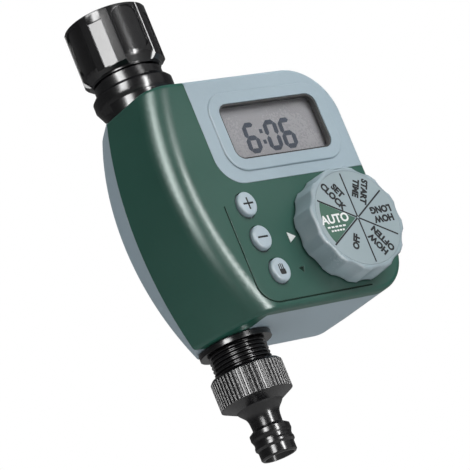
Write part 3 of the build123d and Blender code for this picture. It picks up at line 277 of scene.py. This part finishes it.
def lettering(bm, text, size, x, z, turn, y_front, thick, weight):
    """Word as thin solid letters facing -Y, centred on a point and turned in degrees."""
    curve = bpy.data.curves.new("word", "FONT")
    curve.body = text
    curve.size = size * MM
    curve.align_x = "CENTER"
    curve.align_y = "CENTER"
    curve.extrude = thick / 2 * MM
    curve.offset = weight * MM
    curve.resolution_u = 3
    holder = bpy.data.objects.new("word", curve)
    scene.collection.objects.link(holder)
    graph = bpy.context.evaluated_depsgraph_get()
    mesh = bpy.data.meshes.new_from_object(holder.evaluated_get(graph))
    bpy.data.objects.remove(holder)
    bpy.data.curves.remove(curve)
    upright = Matrix.Rotation(math.radians(90), 4, "X")
    spin = Matrix.Rotation(-math.radians(turn), 4, "Y")
    place = Matrix.Translation((x * MM, (y_front + thick / 2) * MM, z * MM))
    mesh.transform(place @ spin @ upright)
    bm.from_mesh(mesh)
    bpy.data.meshes.remove(mesh)


def front_of(node):
    """Depth of a node's foremost point."""
    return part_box(node)[0].y / MM


# ---------------------------------------------------------------- printed dial face
DIAL_X, DIAL_Z = 51.0, -126.6  # the dial's axis
PRINT = 0.06  # thickness of a printed layer
LEGEND_R = 21.4
RULE_START = 0.5  # the dividing lines begin this far from the centre
RULE_W = 0.7
FILL_R = LEGEND_R - 1.2  # the filled sector stops short of the legend's rim
FILL_TIP_R = 1.4
FILL_FROM, FILL_SWEEP = 151.2, 57.6  # degrees, so that its edges stay clear of the dividing lines
FILL_STEPS = 24
WORD_SIZE, WORD_ROW, WORD_WEIGHT = 4.3, 4.4, 0.24
WORD_R = 14.4
OFF_R = 12.6
AUTO_SIZE, AUTO_WEIGHT = 5.6, 0.18
AUTO_R = 13.4
AUTO_RIGHT, AUTO_UP = 0.4, 1.0  # the word's place from the middle of the sector
DASH_ROWS = ((-2.5, 11.0), (-4.3, 8.0))  # each row's height from the same point, and its width
DASHES = 5
DASH_LEFT, DASH_SHARE, DASH_H = 0.4, 0.72, 0.8
LEGENDS = {
    120: ("SET", "CLOCK"),
    60: ("START", "TIME"),
    0: ("HOW", "LONG"),
    -60: ("HOW", "OFTEN"),
    -120: ("OFF",),
}
dial_face = front_of("dial_label")
print_face = dial_face - PRINT


def polar(angle, radius):
    """Point on the dial's face from an angle in degrees and a radius."""
    a = math.radians(angle)
    return DIAL_X + radius * math.cos(a), DIAL_Z + radius * math.sin(a)


def dial_sector():
    """Filled sector that faces the pointer."""
    bm = bmesh.new()
    rim = [polar(FILL_FROM + FILL_SWEEP * i / FILL_STEPS, FILL_R) for i in range(FILL_STEPS + 1)]
    prism(bm, [polar(180, FILL_TIP_R), *rim], print_face, dial_face)
    piece("dial_sector", bm, "green_print", "dial")


def dial_words():
    """Dividing lines and the words of five sectors, each read from the rim inwards."""
    bm = bmesh.new()
    for angle in range(30, 390, 60):
        x, z = polar(angle, (LEGEND_R + RULE_START) / 2)
        prism(bm, bar(x, z, LEGEND_R - RULE_START, RULE_W, angle), print_face, dial_face)
    for angle, words in LEGENDS.items():
        turn = angle - 180
        for row, word in enumerate(words):
            side = WORD_ROW * ((len(words) - 1) / 2 - row)
            x, z = polar(angle, OFF_R if word == "OFF" else WORD_R)
            x -= side * math.sin(math.radians(turn))
            z += side * math.cos(math.radians(turn))
            lettering(bm, word, WORD_SIZE, x, z, turn, print_face, PRINT, WORD_WEIGHT)
    piece("dial_words", bm, "dark_print", "dial")


def dial_auto_word():
    """White word and two rows of dashes, printed over the filled sector."""
    bm = bmesh.new()
    x, z = polar(180, AUTO_R)
    over_print = print_face - PRINT
    lettering(bm, "AUTO", AUTO_SIZE, x + AUTO_RIGHT, z + AUTO_UP, 0, over_print, PRINT, AUTO_WEIGHT)
    for rise, width in DASH_ROWS:
        step = width / DASHES
        for k in range(DASHES):
            centre = x - width / 2 + (k + 0.5) * step - DASH_LEFT
            prism(bm, bar(centre, z + rise, step * DASH_SHARE, DASH_H), over_print, print_face)
    piece("dial_auto_word", bm, "white_print", "dial")


# ---------------------------------------------------------------- time on the display
TIME_Z = -76.4
TIME = (("6", 26.6), ("0", 38.6), ("6", 47.4))
DIGIT_W, DIGIT_H, STROKE = 5.5, 12.6, 2.3
STROKE_GAP = 0.1
LEAN = 0.06  # shift to the right for each unit of height
FIGURE_DEPTH = 0.05
COLON_X, COLON_RISE = 32.8, 2.6
COLON_W, COLON_H = 1.7, 2.0
SEGMENTS = {"0": "abcdef", "6": "acdefg"}
# each segment's place from the middle, in half widths and half heights, and whether it stands upright
SEGMENT_SPOTS = {
    "a": (0, 1, False),
    "g": (0, 0, False),
    "d": (0, -1, False),
    "f": (-1, 0.5, True),
    "b": (1, 0.5, True),
    "e": (-1, -0.5, True),
    "c": (1, -0.5, True),
}
glass_face = front_of("lcd_glass")


def segment(bm, x, z, length, upright):
    """Six-sided bar with pointed ends."""
    half, w = length / 2, STROKE / 2
    points = [(-half, 0), (-half + w, -w), (half - w, -w), (half, 0), (half - w, w), (-half + w, w)]
    if upright:
        points = [(-v, u) for u, v in points]
    prism(bm, [(x + u + LEAN * v, z + v) for u, v in points], glass_face - FIGURE_DEPTH, glass_face)


def digit(bm, char, x, z):
    """Seven-segment figure, leaning slightly to the right."""
    for name in SEGMENTS[char]:
        across, up, upright = SEGMENT_SPOTS[name]
        rise = up * DIGIT_H / 2
        length = (DIGIT_H / 2 if upright else DIGIT_W) - STROKE_GAP
        segment(bm, x + across * DIGIT_W / 2 + LEAN * rise, z + rise, length, upright)


def lcd_digits():
    """The time that the display shows."""
    bm = bmesh.new()
    for char, x in TIME:
        digit(bm, char, x, TIME_Z)
    for rise in (COLON_RISE, -COLON_RISE):
        dot = bar(COLON_X, TIME_Z + rise, COLON_W, COLON_H)
        prism(bm, dot, glass_face - FIGURE_DEPTH, glass_face)
    piece("lcd_digits", bm, "lcd_ink", "housing")


# ---------------------------------------------------------------- button symbols, and painted shadow in the engraving
PLUS, MINUS, PALM = (4.6, -108.1), (5.1, -124.2), (8.3, -141.2)  # middles of the symbols
SIGN_LENGTH, SIGN_W = 5.5, 0.84
PALM_W, PALM_H = 2.9, 2.3
FINGER_W, FINGER_H = 0.52, 2.6
FINGERS = ((-1.2, 2.2), (-0.2, 2.5), (0.8, 2.2))  # places from the palm's middle
INK_TOP, INK_BOTTOM = 0.04, 0.34  # depths under a button's face
SHADOW_TOP, SHADOW_BOTTOM = 0.12, 0.48  # depths under the cover's face
LINE_X, LINE_TOP_Z, LINE_BOTTOM_Z, LINE_END_X = -6.8, -107.0, -153.6, 56.0
CORNER_R, HALF_LINE = 10.0, 0.39
CORNER_STEPS = 12
ARROW = ((19.6, -140.3), (21.5, -142.2), (22.3, -139.9))


def button_ink(body, node, bars):
    """Fills a button's engraved symbol, just under the button's face."""
    face = front_of(node)
    bm = bmesh.new()
    for outline in bars:
        prism(bm, outline, face + INK_TOP, face + INK_BOTTOM)
    piece("ink_" + body, bm, "dark_print", body)


def frame_path(offset):
    """Points down the left side, round the corner and along the bottom, moved outwards by an offset."""
    reach = CORNER_R + offset
    x, z = LINE_X + CORNER_R, LINE_BOTTOM_Z + CORNER_R
    points = [(LINE_X - offset, LINE_TOP_Z)]
    for k in range(CORNER_STEPS + 1):
        a = math.radians(180 + 90 * k / CORNER_STEPS)
        points.append((x + reach * math.cos(a), z + reach * math.sin(a)))
    return points + [(LINE_END_X, LINE_BOTTOM_Z - offset)]


def engraving_shadow():
    """Shadow in the line round the control panel and in the small arrow."""
    face = front_of("front_cover")
    top, bottom = face + SHADOW_TOP, face + SHADOW_BOTTOM
    bm = bmesh.new()
    prism(bm, frame_path(HALF_LINE) + frame_path(-HALF_LINE)[::-1], top, bottom)
    prism(bm, ARROW, top, bottom)
    piece("engraving_shadow", bm, "groove_shadow", "housing")


# ---------------------------------------------------------------- coil springs in the place of the CAD springs
STEPS_PER_TURN = 24
WIRE_SIDES = 8


def wire_spring(node, wire_r, turns):
    """Round-wire coil in the place of a CAD spring, wound along X through the spring's box."""
    low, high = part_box(node)
    wire = wire_r * MM
    coil_r = (high.y - low.y) / 2 - wire
    centre_y, centre_z = (low.y + high.y) / 2, (low.z + high.z) / 2
    rise = high.x - low.x - 2 * wire
    steps = round(turns * STEPS_PER_TURN)
    angles = [2 * math.pi * k / WIRE_SIDES for k in range(WIRE_SIDES)]
    bm = bmesh.new()
    rings = []
    for i in range(steps + 1):
        turn = 2 * math.pi * turns * i / steps
        outward = Vector((0, math.cos(turn), math.sin(turn)))
        along = Vector((rise / (2 * math.pi * turns), -coil_r * math.sin(turn), coil_r * math.cos(turn)))
        side = along.normalized().cross(outward)
        core = Vector((low.x + wire + rise * i / steps, centre_y, centre_z)) + coil_r * outward
        around = [core + wire * (math.cos(a) * outward + math.sin(a) * side) for a in angles]
        rings.append([bm.verts.new(point) for point in around])
    for ring, following in zip(rings, rings[1:]):
        for k in range(WIRE_SIDES):
            j = (k + 1) % WIRE_SIDES
            bm.faces.new((ring[k], ring[j], following[j], following[k]))
    bm.faces.new(rings[0])
    bm.faces.new(rings[-1])
    coil = piece(node + "_coil", bm, "steel", "housing")
    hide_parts(node)
    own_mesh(coil)


dial_sector()
dial_words()
dial_auto_word()
lcd_digits()
fingers = [bar(PALM[0] + right, PALM[1] + up, FINGER_W, FINGER_H) for right, up in FINGERS]
button_ink("plus_key", "button_plus", [bar(*PLUS, SIGN_LENGTH, SIGN_W), bar(*PLUS, SIGN_W, SIGN_LENGTH)])
button_ink("minus_key", "button_minus", [bar(*MINUS, SIGN_LENGTH, SIGN_W)])
button_ink("manual_key", "button_manual", [bar(*PALM, PALM_W, PALM_H), *fingers])
engraving_shadow()
wire_spring("diaphragm_spring", wire_r=0.4, turns=1.8)
wire_spring("plunger_spring", wire_r=0.3, turns=10.8)


# ---------------------------------------------------------------- camera, light and floor, in metres
MIDDLE = Vector((0.02, 0, -0.11))  # where the lights are aimed
MATT_LEVEL, MIRROR_LEVEL = 0.24, 0.12  # brightness of the surroundings in matt shading and in reflections


def camera(azimuth, elevation, roll, distance, target, lens):
    """Camera that sees the target from an azimuth and elevation, turned about its own axis."""
    a, e, r = (math.radians(v) for v in (azimuth, elevation, roll))
    back = Vector((math.sin(a) * math.cos(e), -math.cos(a) * math.cos(e), math.sin(e)))
    level_right = Vector((math.cos(a), math.sin(a), 0))
    level_up = back.cross(level_right)
    right = math.cos(r) * level_right - math.sin(r) * level_up
    up = math.sin(r) * level_right + math.cos(r) * level_up
    data = bpy.data.cameras.new("Camera")
    data.lens = lens
    data.sensor_width = 36
    data.clip_start, data.clip_end = 0.05, 20
    cam = bpy.data.objects.new("Camera", data)
    scene.collection.objects.link(cam)
    place = Vector(target) + back * distance
    cam.matrix_world = Matrix.Translation(place) @ Matrix((right, up, back)).transposed().to_4x4()
    scene.camera = cam


def softbox(name, direction, distance, size, power, tall=1.0, matt=True, mirrored=True):
    """Area light aimed at the object's middle; it can be kept out of matt shading or out of reflections."""
    data = bpy.data.lights.new(name, "AREA")
    data.shape = "RECTANGLE"
    data.size, data.size_y = size, size * tall
    data.energy = power
    lamp = bpy.data.objects.new(name, data)
    scene.collection.objects.link(lamp)
    lamp.visible_diffuse = matt
    lamp.visible_glossy = mirrored
    towards = Vector(direction).normalized()
    lamp.location = MIDDLE + towards * distance
    lamp.rotation_mode = "QUATERNION"
    lamp.rotation_quaternion = towards.to_track_quat("Z", "Y")


def surroundings():
    """White to the camera, soft grey to matt surfaces and darker to reflections."""
    world = bpy.data.worlds.new("World")
    world.use_nodes = True
    scene.world = world
    tree = world.node_tree
    background = tree.nodes["Background"]
    path = add_node(tree, "LightPath")
    lit = map_range(tree, path.outputs["Is Glossy Ray"], 0, 1, MATT_LEVEL, MIRROR_LEVEL)
    level = add_node(tree, "Mix", {"B": 1.0})
    tree.links.new(path.outputs["Is Camera Ray"], level.inputs["Factor"])
    tree.links.new(lit, level.inputs["A"])
    tree.links.new(level.outputs["Result"], background.inputs["Strength"])
    background.inputs["Color"].default_value = (1, 1, 1, 1)


FLOOR_Z = -0.62
FLOOR_HALF = 4.0
FLOOR_GLOW = 0.42


def floor():
    """Pale floor, lifted in tone for the camera alone, so the lift adds no light to the object."""
    mesh = bpy.data.meshes.new("floor")
    corners = ((-1, -1), (1, -1), (1, 1), (-1, 1))
    mesh.from_pydata([(FLOOR_HALF * x, FLOOR_HALF * y, FLOOR_Z) for x, y in corners], [], [(0, 1, 2, 3)])
    obj = bpy.data.objects.new("floor", mesh)
    scene.collection.objects.link(obj)
    paper = surface("floor_paper", (0.86, 0.86, 0.86), 0.8, vary=0.02, grain=60, corner_shade=0)
    tree = paper.node_tree
    seen = add_node(tree, "LightPath")
    lift = add_node(tree, "Math", {1: FLOOR_GLOW}, operation="MULTIPLY")
    tree.links.new(seen.outputs["Is Camera Ray"], lift.inputs[0])
    shader = tree.nodes["Principled BSDF"]
    shader.inputs["Emission Color"].default_value = (0.95, 0.96, 0.97, 1)
    tree.links.new(lift.outputs[0], shader.inputs["Emission Strength"])
    mesh.materials.append(paper)


camera(
    azimuth=-41.40, elevation=-14.63, roll=22.24, distance=1.3808, target=(0.02403, 0, -0.1082), lens=239.56
)
softbox("key", (0.30, -0.80, 0.55), distance=1.0, size=0.7, power=9.0, mirrored=False)
softbox("sheen", (0.64, -0.73, 0.25), distance=1.0, size=0.7, power=0.5, matt=False)
softbox("upper_streak", (-0.78, -0.52, 0.42), distance=1.0, size=0.30, power=17.0, tall=3, matt=False)
softbox("lower_streak", (0.08, -0.99, -0.12), distance=1.0, size=0.16, power=20.0, tall=6, matt=False)
softbox("edge_strip", (-0.875, -0.40, 0.25), distance=1.2, size=0.16, power=3.5, tall=3, matt=False)
softbox("rim", (-0.8, 0.6, 0.0), distance=1.2, size=0.6, power=3.0, mirrored=False)
softbox("top", (0.1, 0.1, 1.0), distance=0.9, size=0.5, power=3.0, mirrored=False)
surroundings()
floor()
scene.view_settings.view_transform = "Standard"
